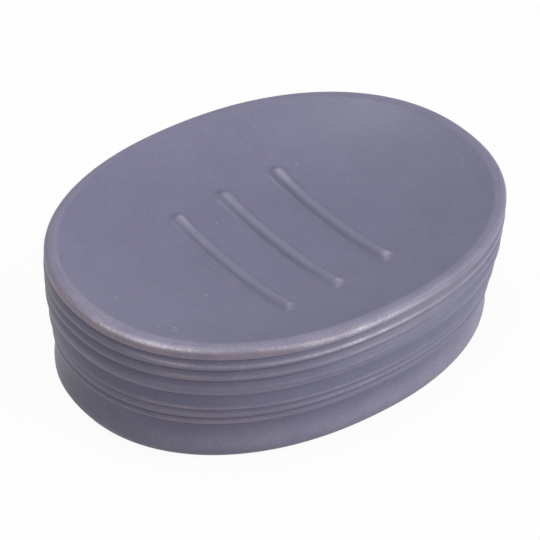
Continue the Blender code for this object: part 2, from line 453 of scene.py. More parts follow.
    def _surface(self, tree: Tree, place: Socket) -> Socket:
        """Raise the hand-finished cast, and the matt grain over it.

        Args:
            tree: The material's tree.
            place: The object's coordinates.

        Returns:
            The bumped normal.
        """
        below: dict[str, Socket] = {}
        for size, detail, depth in ((self.cast, 1.0, self.cast_depth), (self.skin, 2.0, self.skin_depth)):
            inputs = {"Vector": place, "Scale": per_mm(size), "Detail": detail}
            height = add(tree, "TexNoise", inputs).outputs["Fac"]
            bump = {"Height": height, "Distance": depth * MM, "Strength": self.relief, **below}
            below = {"Normal": add(tree, "Bump", bump).outputs["Normal"]}
        return below["Normal"]


@dataclass(frozen=True)
class BareStoneware:
    """Unglazed stoneware, sponged clean of glaze before firing.

    A dry foot ring scatters light with no gloss, and shows the pink-buff body
    with its sandy grog, whose grains are drawn 0.5 mm wide so that they show.
    """

    body: str = "#b3a196"
    grog: str = "#8f7f77"
    roughness: float = 0.9
    ior: float = 1.45
    sand: float = 0.5
    sand_depth: float = 0.08
    sand_relief: float = 0.6

    def material(self) -> bpy.types.Material:
        """Return the bare body's material.

        Returns:
            A dry, sandy procedural material.
        """
        made, tree = empty_material("bare_stoneware")
        place = add(tree, "TexCoord", {}).outputs["Object"]
        sand = {"Vector": place, "Scale": per_mm(self.sand), "Detail": 4.0}
        grit = add(tree, "TexNoise", sand).outputs["Fac"]
        share = add(tree, "MapRange", {"Value": grit, **NARROW}).outputs["Result"]
        hues = {SHARE: share, BELOW: linear(self.grog), ABOVE: linear(self.body)}
        colour = add(tree, "Mix", hues, **RGB).outputs[MIXED]
        rough = {"Height": grit, "Distance": self.sand_depth * MM, "Strength": self.sand_relief}
        bump = add(tree, "Bump", rough).outputs["Normal"]
        finish = {"Base Color": colour, "Roughness": self.roughness, "IOR": self.ior, "Normal": bump}
        shader = add(tree, "BsdfPrincipled", finish)
        add(tree, "OutputMaterial", {"Surface": shader.outputs["BSDF"]})
        return made


@dataclass(frozen=True)
class MouldedSilicone:
    """Translucent silicone, moulded and die cut.

    Soft silicone is milky, with a satin skin that picks up dust. The dust is
    too fine to show, so it is drawn 0.4 mm wide.
    """

    clear: str = "#c9c9c4"
    milky: str = "#b4b4ae"
    roughness: float = 0.38
    ior: float = 1.41
    milkiness: float = 0.25
    milk_depth: float = 1.0
    haze: float = 2.5
    dust: float = 0.4
    dust_depth: float = 0.02
    dust_relief: float = 0.3

    def material(self) -> bpy.types.Material:
        """Return the silicone's material.

        Returns:
            A milky procedural material with a dusty skin.
        """
        made, tree = empty_material("moulded_silicone")
        place = add(tree, "TexCoord", {}).outputs["Object"]
        haze = {"Vector": place, "Scale": per_mm(self.haze), "Detail": 3.0}
        share = add(tree, "TexNoise", haze).outputs["Fac"]
        hues = {SHARE: share, BELOW: linear(self.milky), ABOVE: linear(self.clear)}
        colour = add(tree, "Mix", hues, **RGB).outputs[MIXED]
        dust = {"Vector": place, "Scale": per_mm(self.dust), "Detail": 2.0}
        height = add(tree, "TexNoise", dust).outputs["Fac"]
        skin = {"Height": height, "Distance": self.dust_depth * MM, "Strength": self.dust_relief}
        bump = add(tree, "Bump", skin).outputs["Normal"]
        finish = {"Base Color": colour, "Roughness": self.roughness, "IOR": self.ior, "Normal": bump}
        milk = {"Subsurface Weight": self.milkiness, "Subsurface Scale": self.milk_depth * MM}
        shader = add(tree, "BsdfPrincipled", {**finish, **milk})
        add(tree, "OutputMaterial", {"Surface": shader.outputs["BSDF"]})
        return made


@dataclass(frozen=True)
class StudioPaper:
    """White background paper, seamless and matt, lit until it looks pure white with a faint shadow."""

    white: str = "#ffffff"
    bounced: str = "#dcdcdf"
    burnt_out: float = 0.95

    def material(self) -> bpy.types.Material:
        """Return the paper's material.

        Returns:
            A matt white that the background's rays see nearly burnt out.
        """
        made, tree = empty_material("studio_paper")
        plain = add(tree, "BsdfDiffuse", {"Color": linear(self.white)})
        glow = add(tree, "Emission", {"Color": linear(self.white), "Strength": 1.0})
        looks = {0: self.burnt_out, 1: plain.outputs[0], 2: glow.outputs[0]}
        seen = add(tree, "MixShader", looks)
        bounced = add(tree, "BsdfDiffuse", {"Color": linear(self.bounced)})
        either = {0: background_share(tree), 1: bounced.outputs[0], 2: seen.outputs[0]}
        mixed = add(tree, "MixShader", either)
        add(tree, "OutputMaterial", {"Surface": mixed.outputs[0]})
        made.cycles.emission_sampling = "NONE"
        return made


@dataclass
class OvalPlan:
    """The dish's plan at its widest, a superellipse."""

    length: float = 130.0 * MM
    width: float = 95.0 * MM
    exponent: float = 2.17
    sides: int = 256

    def ring(self, half_length: float, half_width: float, z: float, exponent: float | None = None) -> Rows:
        """Return the points of one level ring.

        Args:
            half_length: The ring's reach along the dish.
            half_width: Its reach across.
            z: Its height.
            exponent: Its squareness, or None for the plan's own.

        Returns:
            One row of x, y and z for each side.
        """
        power = 2.0 / (exponent or self.exponent)
        turn = np.arange(self.sides) * FULL_TURN / self.sides
        x = half_length * np.sign(np.cos(turn)) * np.abs(np.cos(turn)) ** power
        y = half_width * np.sign(np.sin(turn)) * np.abs(np.sin(turn)) ** power
        return np.stack([x, y, np.full(self.sides, z)], axis=1)

    def circle(self, radius: float, z: float) -> Rows:
        """Return the points of one level circle, whose exponent is 2."""
        return self.ring(radius, radius, z, 2.0)


@dataclass
class Ring:
    """One ring of the body, with how far it has the lip's coat, and how far it shows pink and is pooled.

    A ring of the wall also says its level, which is its height before the bands sag.
    """

    points: Rows
    lip: float = 0.0
    pink: float = 0.0
    pooled: float = 0.0
    level: float = 0.0


@dataclass
class Band:
    """One band of the wall: its height, its crest, the groove above it and the pale share on its crest,
    partly the glaze's break and partly a painted highlight.
    """

    height: float
    crest: float
    groove: float
    crest_at: float
    hollow: float
    turn: float
    pale: float = 0.0
    roundness: float = 2.3
    upper_steps: int = 8
    lower_steps: int = 6

    def outline(self, top_z: float) -> list[Point]:
        """Return the band's outline, from its groove to its lower edge.

        Args:
            top_z: The height of its groove.

        Returns:
            Pairs of inset and height.
        """
        points = []
        for share in shares_of(self.upper_steps):
            inset = self.crest + self.groove * (1.0 - share) ** self.hollow
            points.append((inset, top_z - share * self.crest_at * self.height))
        for share in shares_of(self.lower_steps, 1):
            down = self.crest_at + (1.0 - self.crest_at) * share
            points.append((self.crest + self.turn * share**self.roundness, top_z - down * self.height))
        return points


@dataclass
class SoapRib:
    """One raised rib, between the middles of its round ends, with painted highlights on its ridge and round
    its ends and painted shade at its foot, each partly the glaze's own.
    """

    far: Point
    near: Point
    near_pale_highlight: float
    half_width: float = 2.3 * MM
    far_swell: float = 0.5 * MM
    near_swell: float = 0.15 * MM
    swell_spread: float = 3.0 * MM
    height: float = 1.35 * MM
    roundness: float = 1.10
    # Painted highlights, partly the glaze's break: a pale line on the ridge near the far end, a pale spot at
    # the near end and a faint pale ridge. Painted shade, partly pooled glaze: the darker crease at the foot.
    near_spread: float = 1.05 * MM
    far_pale_highlight: float = 0.20
    far_spread: float = 6.0 * MM
    far_line: float = 0.5 * MM
    ridge_pale_highlight: float = 0.05
    ridge_spread: float = 1.2 * MM
    foot_pooled_and_shade: float = 0.11
    foot_spread: float = 0.9 * MM

    def away(self, points: Rows) -> Rows:
        """Return how far points lie from the rib's spine.

        Args:
            points: Rows of x, y and z.

        Returns:
            One distance for each point.
        """
        run = np.subtract(self.near, self.far)
        x, y = (points[:, :2] - self.far).T
        held = np.clip((x * run[0] + y * run[1]) / float(run @ run), 0.0, 1.0)
        return np.hypot(x - held * run[0], y - held * run[1])

    def by_end(self, points: Rows, end: Point, spread: float) -> Rows:
        """Return shares that fade over a spread from one of the rib's ends."""
        return bell(np.hypot(*(points[:, :2] - end).T), spread)

    def reach(self, points: Rows) -> Rows:
        """Return the rib's half width by each point, widest at its round ends.

        Args:
            points: Rows of x, y and z.

        Returns:
            One half width for each point.
        """
        far_knob = self.far_swell * self.by_end(points, self.far, self.swell_spread)
        near_knob = self.near_swell * self.by_end(points, self.near, self.swell_spread)
        return self.half_width + far_knob + near_knob

    def rise(self, points: Rows) -> Rows:
        """Return the rib's height above the bowl, rounded across and creased at its foot."""
        across = np.clip(self.away(points) / self.reach(points), 0.0, 1.0)
        return self.height * (1.0 - across**2) ** self.roundness

    def pooled(self, points: Rows) -> Rows:
        """Return the share by which the rib's foot is darker: pooled glaze and painted shade in its crease.
        """
        return self.foot_pooled_and_shade * bell(self.away(points) - self.reach(points), self.foot_spread)

    def pale(self, points: Rows) -> Rows:
        """Return the pale share on the rib's ridge and near its ends: painted highlights, partly the glaze's
        break.

        Args:
            points: Rows of x, y and z.

        Returns:
            One share for each point.
        """
        away = self.away(points)
        line = self.far_pale_highlight * self.by_end(points, self.far, self.far_spread) * bell(away, self.far_line)
        knob = self.near_pale_highlight * self.by_end(points, self.near, self.near_spread)
        return self.ridge_pale_highlight * bell(away, self.ridge_spread) + line + knob


@dataclass(frozen=True)
class SideShare:
    """A share that is largest on one side of the dish. It says where the glaze drained thin, where painted
    highlights fall, where the glaze ran full and where the bands sag.

    The side is given by its turn round the dish and its spread, in degrees.
    """

    turn: float
    spread: float
    most: float
    least: float

    def share(self, points: Rows) -> Rows:
        """Return the share at each point, most on its side."""
        off = (turn_of(points) - self.turn + DEGREES_ROUND / 2) % DEGREES_ROUND - DEGREES_ROUND / 2
        return self.least + (self.most - self.least) * bell(off, self.spread)


@dataclass(frozen=True)
class LipCoat:
    """The glaze on the lip: pale on a line that sinks from its edge down its side, which is a painted
    highlight, partly the glaze's break, and pink below it.
    """

    # Painted highlight: the pale line runs along the lip's edge on the left of the near side and sinks down
    # its side towards the front, following where the lights' highlight falls.
    top_pale: SideShare = SideShare(222.0, 60.0, 0.095, 0.04)
    top_pale_lost: float = 0.5
    line_drop: float = 0.55 * MM
    line_sinks: float = 1.1 * MM
    line_spread: float = 0.30 * MM
    spread_grows: float = 0.20 * MM
    spread_below: float = 2.0
    sinks_from: float = 222.0
    sinks_to: float = 250.0
    left_highlight_line: SideShare = SideShare(201.0, 16.0, 0.92, 0.04)
    right_highlight_line: SideShare = SideShare(257.0, 27.0, 0.97, 0.0)
    left_spreads: SideShare = SideShare(176.0, 12.0, 0.4, 0.0)
    inner_line: SideShare = SideShare(162.0, 24.0, 0.06, 0.0)
    inner_spread: float = 0.45 * MM
    top_pink: SideShare = SideShare(182.0, 38.0, 0.14, 0.05)
    side_pink: SideShare = SideShare(192.0, 48.0, 0.85, 0.20)
    pink_from: float = 0.2 * MM
    pink_to: float = 0.9 * MM

    def pale(self, points: Rows, drop: Rows) -> Rows:
        """Return the pale share at each point of the lip: the painted highlight line, partly the glaze's
        break, over a paler top.

        Args:
            points: Rows of x, y and z.
            drop: Their depths below the lip's top.

        Returns:
            One share for each point.
        """
        sunk = eased((turn_of(points) - self.sinks_from) / (self.sinks_to - self.sinks_from))
        from_line = drop - self.line_drop - self.line_sinks * sunk
        widening = np.where(from_line > 0.0, self.spread_below, 1.0 + self.left_spreads.share(points))
        spread = (self.line_spread + self.spread_grows * sunk) * widening
        strength = np.maximum(self.left_highlight_line.share(points), self.right_highlight_line.share(points))
        around = self.top_pale.share(points) * (1.0 - self.top_pale_lost * eased(from_line / spread))
        return around + (np.maximum(strength, around) - around) * bell(from_line, spread)

    def pink(self, points: Rows, drop: Rows) -> Rows:
        """Return the share by which the pink body shows, by the depth below the lip's top."""
        down = eased((drop - self.pink_from) / (self.pink_to - self.pink_from))
        return (1.0 - down) * self.top_pink.share(points) + down * self.side_pink.share(points)

    def inner(self, points: Rows, beyond: Rows) -> Rows:
        """Return the share by which the glaze breaks pale just beyond the bowl's edge."""
        return self.inner_line.share(points) * bell(beyond - self.inner_spread, self.inner_spread)


@dataclass
class DishBody:
    """The cast and glazed body of the dish."""

    plan: OvalPlan = field(default_factory=OvalPlan)
    foot_z: float = 1.1 * MM
    lip_height: float = 3.4 * MM
    lip_width_at_ends: float = 3.75 * MM
    lip_width_at_sides: float = 2.4 * MM
    lip_side_inset: float = 0.05 * MM
    lip_outer_radius: float = 1.5 * MM
    lip_outer_drop: float = 1.5 * MM
    lip_outer_margin: float = 0.2 * MM
    lip_turn: float = 0.25 * MM
    lip_inner_ease: float = 0.4 * MM
    bowl_depth: float = 10.8 * MM
    bowl_flatness: float = 2.5
    foot_height: float = 11.7 * MM
    foot_inset: float = 2.9 * MM
    foot_groove: float = 1.10 * MM
    foot_cove_height: float = 8.4 * MM
    foot_cove_hollow: float = 1.7
    foot_edge_radius: float = 1.4 * MM
    # Painted light and shade on the foot: paler low down, where more light reaches below the wall's
    # overhang; darker at its top under the overhang, partly pooled glaze; and darker along its lower edge
    # over the floor's contact shadow.
    foot_painted_light: float = 0.13
    foot_painted_light_at: float = 0.64
    foot_painted_light_spread: float = 0.30
    foot_pooled_and_shade: float = 0.40
    foot_pooled_and_shade_fades: int = 4
    base_painted_shade: float = 0.65
    base_spread: float = 0.16
    foot_ring_width: float = 11.0 * MM
    foot_ring_start: float = 2.0 * MM
    dry_above: float = 0.02 * MM
    base_recess: float = 1.5 * MM
    wall: float = 4.5 * MM
    cavity_fillet: float = 4.0 * MM
    cavity_bevel: float = 1.0 * MM
    roof_widest: float = 0.90
    vent_radius: float = 1.0 * MM
    vent_edge: float = 0.2 * MM
    vent_margin: float = 6.0 * MM
    glaze_softening: float = 0.20 * MM
    waviness: float = 0.10 * MM
    bowl_steps: int = 116
    lip_steps: int = 8
    flat_steps: int = 5
    corner_steps: int = 8
    cove_steps: int = 8
    base_steps: int = 4
    roof_steps: int = 8
    lip_coat: LipCoat = field(default_factory=LipCoat)
    pink_by_bend: float = 0.75
    pink_spread: float = 0.55 * MM
    break_spread: float = 0.42 * MM
    # Pooled glaze in the grooves, partly painted shade where the grooves lie in shade.
    pooled_and_shade_by_bend: float = 0.65
    # The end where the glaze ran full is drawn darker all over its wall.
    pooled_by_run: float = 0.62
    wall_drained: SideShare = SideShare(205.0, 30.0, 1.0, 0.05)
    wall_pink: float = 0.10
    # Painted highlights on the crests, partly the glaze's break: strongest on the two sides where the
    # lights' highlights fall.
    left_crest_break_and_highlight: SideShare = SideShare(204.0, 14.0, 0.46, 0.0)
    right_crest_break_and_highlight: SideShare = SideShare(261.0, 20.0, 1.0, 0.25)
    ran_full: SideShare = SideShare(171.0, 19.0, 0.62, 0.0)
    # On the left the pale line on the crests is lifted up the upper flank.
    pale_rises_above_crest: SideShare = SideShare(190.0, 17.0, 0.55 * MM, 0.0)
    bands_sag: SideShare = SideShare(256.0, 38.0, 0.35 * MM, 0.0)
    # Each band's pale share is a painted highlight on its crest, partly the glaze's break.
    bands: tuple[Band, ...] = (
        Band(3.8 * MM, 0.00 * MM, 1.05 * MM, 0.52, 1.40, 0.80 * MM, pale=0.80),
        Band(3.6 * MM, 0.20 * MM, 1.05 * MM, 0.52, 1.40, 0.80 * MM, pale=0.28),
        Band(5.1 * MM, 0.45 * MM, 1.05 * MM, 0.43, 1.40, 0.95 * MM, pale=0.16),
        Band(5.0 * MM, 1.40 * MM, 1.05 * MM, 0.88, 1.15, 0.30 * MM, pale=0.15),
        Band(3.5 * MM, 2.10 * MM, 0.70 * MM, 0.58, 1.40, 0.55 * MM, pale=0.20),
        Band(2.2 * MM, 2.30 * MM, 0.60 * MM, 0.55, 1.50, 0.50 * MM, pale=0.05),
    )
    # The third number is the painted highlight at each rib's near end.
    ribs: tuple[SoapRib, ...] = (
        SoapRib((-15.9 * MM, 21.0 * MM), (-15.0 * MM, -24.3 * MM), 0.10),
        SoapRib((0.3 * MM, 22.4 * MM), (1.8 * MM, -23.3 * MM), 0.27),
        SoapRib((17.6 * MM, 22.1 * MM), (18.7 * MM, -22.0 * MM), 0.32),
    )

    @property
    def lip_flat_inset(self) -> float:
        """Return the inset at which the lip's flat top ends and its outer edge begins."""
        return self.lip_side_inset + self.lip_outer_radius + self.lip_outer_margin

    @property
    def groove_z(self) -> float:
        """Return the height of the foot's upper groove."""
        return self.foot_z + self.foot_height

    @property
    def shoulder_z(self) -> float:
        """Return the height of the groove under the lip."""
        return self.groove_z + sum(band.height for band in self.bands)

    @property
    def top_z(self) -> float:
        """Return the height of the lip's top."""
        return self.shoulder_z + self.lip_height

    @property
    def crest_heights(self) -> list[float]:
        """Return the height of each band's crest."""
        tops = self.shoulder_z - np.cumsum([0.0, *(band.height for band in self.bands)])
        return [top_z - band.crest_at * band.height for top_z, band in zip(tops, self.bands)]

    @property
    def bowl_reach(self) -> Point:
        """Return the bowl's reach along and across the dish."""
        return self.plan.length / 2 - self.lip_width_at_ends, self.plan.width / 2 - self.lip_width_at_sides

    def bowl_z(self, radius: float) -> float:
        """Return the bowl's height at a share of its radius."""
        return self.top_z - self.bowl_depth * (1.0 - radius**self.bowl_flatness)

    def inset_oval(self, inset: float, z: float) -> Rows:
        """Return the ring that lies inside the widest plan by an inset."""
        return self.plan.ring(self.plan.length / 2 - inset, self.plan.width / 2 - inset, z)

    def bowl_oval(self, radius: float, z: float) -> Rows:
        """Return the ring at a share of the bowl's radius."""
        reach, breadth = self.bowl_reach
        return self.plan.ring(radius * reach, radius * breadth, z)

    def beyond_bowl(self, points: Rows) -> Rows:
        """Return how far points lie outside the bowl's edge.

        Args:
            points: Rows of x, y and z.

        Returns:
            One distance for each point, below 0 inside the bowl.
        """
        power = self.plan.exponent
        level = points[:, :2]
        radius = (np.abs(level / self.bowl_reach) ** power).sum(axis=1) ** (1.0 / power)
        return (radius - 1.0) * np.hypot(*level.T)

    def wall_outline(self) -> Rows:
        """Return the outline from the lip's flat top round the wall to the foot ring.

        Returns:
            Rows of inset and height.
        """
        points = [(self.lip_flat_inset, self.top_z)]
        for turn in quarter_turns(self.corner_steps):
            inset = self.lip_side_inset + self.lip_outer_radius * (1.0 - math.sin(turn))
            points.append((inset, self.top_z - self.lip_outer_drop * (1.0 - math.cos(turn))))
        side_z = self.top_z - self.lip_outer_drop
        for share in shares_of(self.corner_steps, 1):
            inset = self.lip_side_inset + self.lip_turn * share**2
            points.append((inset, side_z + (self.shoulder_z - side_z) * share))
        z = self.shoulder_z
        for band in self.bands:
            points += band.outline(z)
            z -= band.height
        for share in shares_of(self.cove_steps):
            inset = self.foot_inset + self.foot_groove * (1.0 - share**self.foot_cove_hollow)
            points.append((inset, self.groove_z - share * self.foot_cove_height))
        cove_z = self.groove_z - self.foot_cove_height
        for turn in quarter_turns(self.corner_steps)[1:]:
            inset = self.foot_inset + self.foot_edge_radius * (1.0 - math.cos(turn))
            points.append((inset, cove_z - (cove_z - self.foot_z) * math.sin(turn)))
        points.append((self.foot_inset + self.foot_edge_radius + self.foot_ring_start, self.foot_z))
        return np.array(points)

    def crest_line(self, z: float) -> float:
        """Return the inset of the line that touches the lip's side, all the crests and the foot.

        Args:
            z: A height on the wall.

        Returns:
            The line's inset there.
        """
        heights = [self.shoulder_z, *self.crest_heights, self.groove_z - self.foot_cove_height, self.foot_z]
        crests = [band.crest for band in self.bands]
        insets = [crests[0], *crests, self.foot_inset, self.foot_inset]
        return float(np.interp(z, heights[::-1], insets[::-1]))

    def glazed_outline(self) -> tuple[Rows, Rows, Rows]:
        """Return the wall's outline under its coat of glaze.

        The glaze softens every corner by its own thickness. It drains thin
        where the outline turns outward and pools where it turns inward, and is drawn
        darker there, which is partly painted shade in the grooves.

        Returns:
            Rows of inset and height, and for each row the shares by which the
            body shows pink and the glaze lies pooled, partly painted shade.
        """
        step = 0.05 * MM
        span_length = 0.25
        pinkest_bend, fullest_bend = 0.9, 1.2
        sharp = self.wall_outline()
        run = np.concatenate([[0.0], np.cumsum(np.hypot(*np.diff(sharp, axis=0).T))])
        places = np.arange(0.0, run[-1], step)
        fine = np.stack([np.interp(places, run, sharp[:, axis]) for axis in (0, 1)], axis=1)
        weights = self._weights(self.glaze_softening / step)
        margin = ((len(weights) // 2,) * 2, (0, 0))
        padded = np.pad(fine, margin, mode="reflect", reflect_type="odd")
        soft = np.stack([np.convolve(padded[:, axis], weights, mode="valid") for axis in (0, 1)], axis=1)
        span = int(span_length * MM / step)
        ahead = np.roll(soft, -span, axis=0) - soft
        behind = soft - np.roll(soft, span, axis=0)
        cross = ahead[:, 0] * behind[:, 1] - ahead[:, 1] * behind[:, 0]
        bend = -np.arctan2(cross, (ahead * behind).sum(axis=1)) / span_length
        bend[:span] = 0.0
        bend[-span:] = 0.0
        outward = np.convolve(np.maximum(bend, 0.0), self._weights(self.pink_spread / step), mode="same")
        pink = self.pink_by_bend * np.minimum(1.0, outward / pinkest_bend)
        # Painted shade: darker in the inward bends, partly pooled glaze.
        pooled = self.pooled_and_shade_by_bend * np.clip(-bend / fullest_bend, 0.0, 1.0)
        keep = self._spaced(soft, bend)
        return soft[keep], pink[keep], pooled[keep]

    def _weights(self, spread: float) -> Rows:
        """Return the weights of a soft blur.

        Args:
            spread: Its spread in steps.

        Returns:
            An odd number of weights that add up to 1.
        """
        spreads_kept = 3
        reach = int(spreads_kept * spread)
        weights = np.exp(-0.5 * (np.arange(-reach, reach + 1) / spread) ** 2)
        return weights / weights.sum()

    def _spaced(self, outline: Rows, bend: Rows) -> list[int]:
        """Choose points of an outline, close together where it bends.

        Args:
            outline: Rows of inset and height.
            bend: The bend at each row.

        Returns:
            The rows to keep.
        """
        close, wide, sharp = 0.12 * MM, 0.5 * MM, 0.5
        keep = [0]
        for index in range(1, len(outline) - 1):
            gap = math.hypot(*(outline[index] - outline[keep[-1]]))
            if gap > (close if abs(bend[index]) > sharp else wide):
                keep.append(index)
        return keep + [len(outline) - 1]

    def bowl_rings(self) -> list[Ring]:
        """Return the rings of the bowl, of the lip's eased inner edge and of its flat top.

        Returns:
            Rings from the bowl's middle outward.
        """
        edge = 1.0 - self.lip_inner_ease / (self.plan.width / 2)
        radii = [edge * share for share in shares_of(self.bowl_steps, 1)]
        rings = [Ring(self.bowl_oval(radius, self.bowl_z(radius))) for radius in radii]
        start = rings[-1].points
        corner = self.bowl_oval(1.0, self.top_z)
        end = self.bowl_oval(2.0 - edge, self.top_z)
        for share in shares_of(self.lip_steps, 1)[:-1]:
            points = (1 - share) ** 2 * start + 2 * share * (1 - share) * corner + share**2 * end
            rings.append(Ring(points, lip=share))
        outer = self.inset_oval(self.lip_flat_inset, self.top_z)
        for share in shares_of(self.flat_steps)[:-1]:
            rings.append(Ring(end + share * (outer - end), lip=1.0))
        return rings

    def wall_rings(self) -> list[Ring]:
        """Return the rings of the lip's outer side, the bands and the foot.

        The bands sag on one side, the upper ones most. On another side the
        glaze ran full, and fills the grooves out towards the crests.

        Returns:
            Rings from the lip's top down to the foot ring.
        """
        rings = []
        for (inset, z), pink, pooled in zip(*self.glazed_outline()):
            points = self.inset_oval(inset, z)
            sag = self.bands_sag.share(points)
            if z > self.shoulder_z:
                low = (self.top_z - self.lip_outer_drop - z) / (self.lip_height - self.lip_outer_drop)
                points[:, 2] -= max(0.0, low) * sag
                rings.append(Ring(points, lip=1.0, pooled=pooled))
                continue
            if z > self.foot_z + self.foot_edge_radius:
                filled = self.ran_full.share(points)[:, None]
                points = points + filled * (self.inset_oval(self.crest_line(z), z) - points)
            points[:, 2] -= min(1.0, max(0.0, (z - self.groove_z) / (self.shoulder_z - self.groove_z))) * sag
            # Painted shade: darker at the top of the foot under the wall, partly pooled glaze, and along its
            # lower edge.
            down_foot = (self.groove_z - z) / (self.groove_z - self.foot_z)
            if down_foot > 0.0:
                in_groove = self.foot_pooled_and_shade * (1.0 - down_foot) ** self.foot_pooled_and_shade_fades
                at_base = self.base_painted_shade * bell(1.0 - down_foot, self.base_spread)
                pooled = max(pooled, in_groove, at_base)
            rings.append(Ring(points, pink=pink, pooled=pooled, level=z))
        return rings

    def wall_pale_highlight(self, z: Rows) -> Rows:
        """Return the pale share: painted highlights at the crests, partly the glaze's break, and painted
        light low on the foot.

        Args:
            z: Heights on the wall.

        Returns:
            One share for each height.
        """
        down_foot = (self.groove_z - z) / (self.groove_z - self.foot_z)
        on_foot = self.foot_painted_light * bell(down_foot - self.foot_painted_light_at, self.foot_painted_light_spread)
        crests = zip(self.bands, self.crest_heights)
        on_bands = sum(band.pale * bell(z - crest_z, self.break_spread) for band, crest_z in crests)
        return np.where(z < self.groove_z, on_foot, on_bands)

    def base_rings(self) -> list[Ring]:
        """Return the rings of the foot ring, the raised base and its vent.

        Returns:
            Rings from the foot ring's inner edge to the vent's inner end.
        """
        inner = self.foot_inset + self.foot_edge_radius + self.foot_ring_width
        panel_z = self.foot_z + self.base_recess
        rings = [self.inset_oval(inner - self.vent_edge, self.foot_z)]
        for share in shares_of(self.base_steps):
            rise = self.base_recess * float(eased(share))
            rings.append(self.inset_oval(inner + self.base_recess * share, self.foot_z + rise))
        rings.append(self.plan.circle(self.vent_radius + self.vent_margin, panel_z))
        rings.append(self.plan.circle(self.vent_radius + self.vent_edge, panel_z))
        rings.append(self.plan.circle(self.vent_radius, panel_z + self.vent_edge))
        rings.append(self.plan.circle(self.vent_radius, panel_z + self.wall))
        return [Ring(points) for points in rings]

    def cavity_rings(self) -> list[Ring]:
        """Return the rings of the hollow: its floor, its wall and the bowl's underside.

        Returns:
            Rings from the hollow's floor to its roof's middle.
        """
        wall_inset = self.foot_inset + self.foot_groove + self.wall
        floor_z = self.foot_z + self.base_recess + self.wall
        rings = []
        for turn in quarter_turns(self.base_steps):
            inset = wall_inset + self.cavity_fillet * (1.0 - math.sin(turn))
            rings.append(self.inset_oval(inset, floor_z + self.cavity_fillet * (1.0 - math.cos(turn))))
        under_lip = self.bands[0].crest + self.bands[0].groove + self.wall
        roof_z = self.shoulder_z - self.wall
        rings.append(self.inset_oval(under_lip, roof_z - self.cavity_fillet))
        rings.append(self.inset_oval(under_lip + self.cavity_bevel, roof_z - self.cavity_bevel))
        for share in shares_of(self.roof_steps)[:-1]:
            radius = self.roof_widest * (1.0 - share)
            rings.append(self.bowl_oval(radius, self.bowl_z(radius) - self.wall))
        return [Ring(points) for points in rings]

    def rib_rise(self, points: Rows) -> Rows:
        """Return the height of all the ribs above the bowl at each point."""
        return np.max([rib.rise(points) for rib in self.ribs], axis=0)

    def build(self) -> Thing:
        """Build the body as one closed mesh, with its glaze's thickness, its painted highlights and its
        painted shade as attributes.

        Returns:
            The body, linked to the scene.
        """
        bowl, wall = self.bowl_rings(), self.wall_rings()
        rings = bowl + wall + self.base_rings() + self.cavity_rings()
        body = np.concatenate([ring.points for ring in rings])
        coats = self.coats(rings, body)
        wall_start = len(bowl) * self.plan.sides
        inside = body[:wall_start]
        # The ribs add their painted highlights to the pale coat and their painted shade to the pooled coat.
        for rib in self.ribs:
            for coat, shares in ((Coat.PALE, rib.pale(inside)), (Coat.POOLED, rib.pooled(inside))):
                coats[coat][:wall_start] = np.maximum(coats[coat][:wall_start], shares)
        inside[:, 2] += self.rib_rise(inside)
        self._waver(body[wall_start : wall_start + len(wall) * self.plan.sides])
        middle = np.array([[0.0, 0.0, self.bowl_z(0.0)]])
        first = middle + [0.0, 0.0, float(self.rib_rise(middle)[0])]
        points = np.concatenate([first, body, middle - [0.0, 0.0, self.wall]])
        made = lofted("dish_glazed_body", points, self.plan.sides)
        for coat, shares in coats.items():
            layer = made.data.attributes.new(coat.value, "FLOAT", "POINT")
            ends = np.concatenate([[0.0], np.clip(shares, 0.0, 1.0), [0.0]])
            layer.data.foreach_set("value", ends.astype(np.float32))
        return made

    def coats(self, rings: list[Ring], body: Rows) -> dict[Coat, Rows]:
        """Return how the glaze lies at each point of the body, with its painted highlights and painted
        shade.

        Args:
            rings: The body's rings.
            body: Their points, one row each.

        Returns:
            For each coat its share at each point.
        """
        rows = [(ring.lip, ring.pink, ring.pooled, ring.level) for ring in rings]
        lip, pink, pooled, level = np.repeat(rows, self.plan.sides, axis=0).T
        on_wall, on_foot = level > 0.0, level < self.groove_z
        drop = self.top_z - body[:, 2]
        full = self.ran_full.share(body) / self.ran_full.most
        # Painted highlights on the crests, partly the glaze's break, on two sides; low on the foot the pale
        # share is painted light.
        breaks = np.maximum(self.left_crest_break_and_highlight.share(body), self.right_crest_break_and_highlight.share(body))
        broken = np.where(on_foot, 1.0, breaks) * (1.0 - full)
        above = np.where(on_foot, 0.0, self.pale_rises_above_crest.share(body))
        # On the lip the pale coat is the painted highlight line, partly the glaze's break.
        inner = self.lip_coat.inner(body, self.beyond_bowl(body))
        on_edge = lip * (self.lip_coat.pale(body, drop) + inner)
        drained = self.wall_drained.share(body)
        bared = lip * self.lip_coat.pink(body, drop) + pink * drained * (1.0 - full)
        return {
            Coat.PALE: np.where(on_wall, self.wall_pale_highlight(level - above) * broken, on_edge),
            Coat.PINK: np.where(on_wall, np.maximum(bared, self.wall_pink * drained), bared),
            Coat.POOLED: np.where(on_wall, np.maximum(pooled, self.pooled_by_run * full), pooled),
        }

    def _waver(self, wall: Rows) -> None:
        """Draw the wall in by the slight unevenness of a hand-finished cast.

        Args:
            wall: The wall's points, changed in place.
        """
        slow_pitch, quick_pitch, flattening = 38.0, 11.0, 3.0
        middle, slow_share, quick_share = 0.5, 0.35, 0.15
        for row in wall:
            slow = noise.noise(Vector(row) * per_mm(slow_pitch))
            quick = noise.noise(Vector((row[0], row[1], row[2] * flattening)) * per_mm(quick_pitch))
            inward = self.waviness * (middle + slow_share * slow + quick_share * quick)
            row[:2] -= inward * row[:2] / math.hypot(row[0], row[1])

